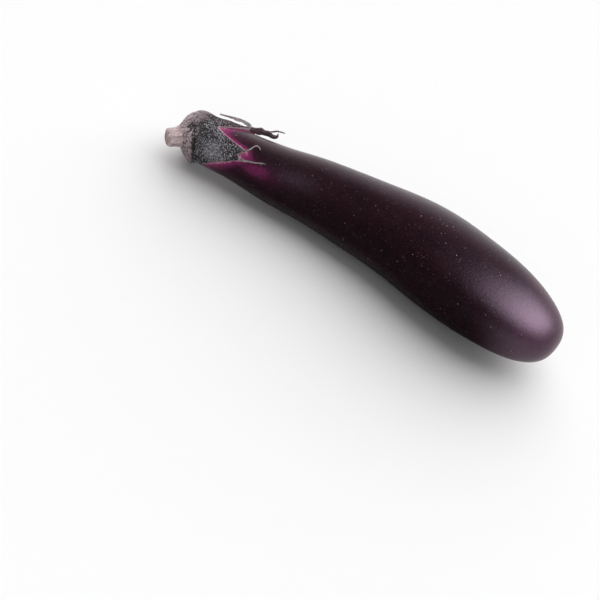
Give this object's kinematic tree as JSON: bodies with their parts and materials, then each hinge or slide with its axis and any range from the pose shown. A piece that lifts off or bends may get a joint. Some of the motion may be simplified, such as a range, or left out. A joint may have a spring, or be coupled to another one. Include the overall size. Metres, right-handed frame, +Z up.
{
  "type": "eggplant",
  "caption": "Whole long eggplant lying on its side: a glossy, near-black purple fruit with a slight bend, a fuzzy grey calyx with dry curled leaf tips, and a short cut stem.",
  "frame": {"origin": "middle of the eggplant's box, on the surface that it lies on", "axes": "+X from the stem to the blossom end, +Z up, -Y towards the hollow side of its bend"},
  "size_m": [0.2304, 0.0578, 0.0501],
  "materials": {
    "skin": "glossy waxy skin, near-black purple, magenta by the calyx",
    "leaf": "matt, dark grey-purple under pale fuzz",
    "stem": "matt, pale mauve-brown, corky where cut"
  },
  "bodies": {
    "root": {"fruit": "skin", "calyx": "leaf", "stem": "stem"}
  },
  "joints": []
}
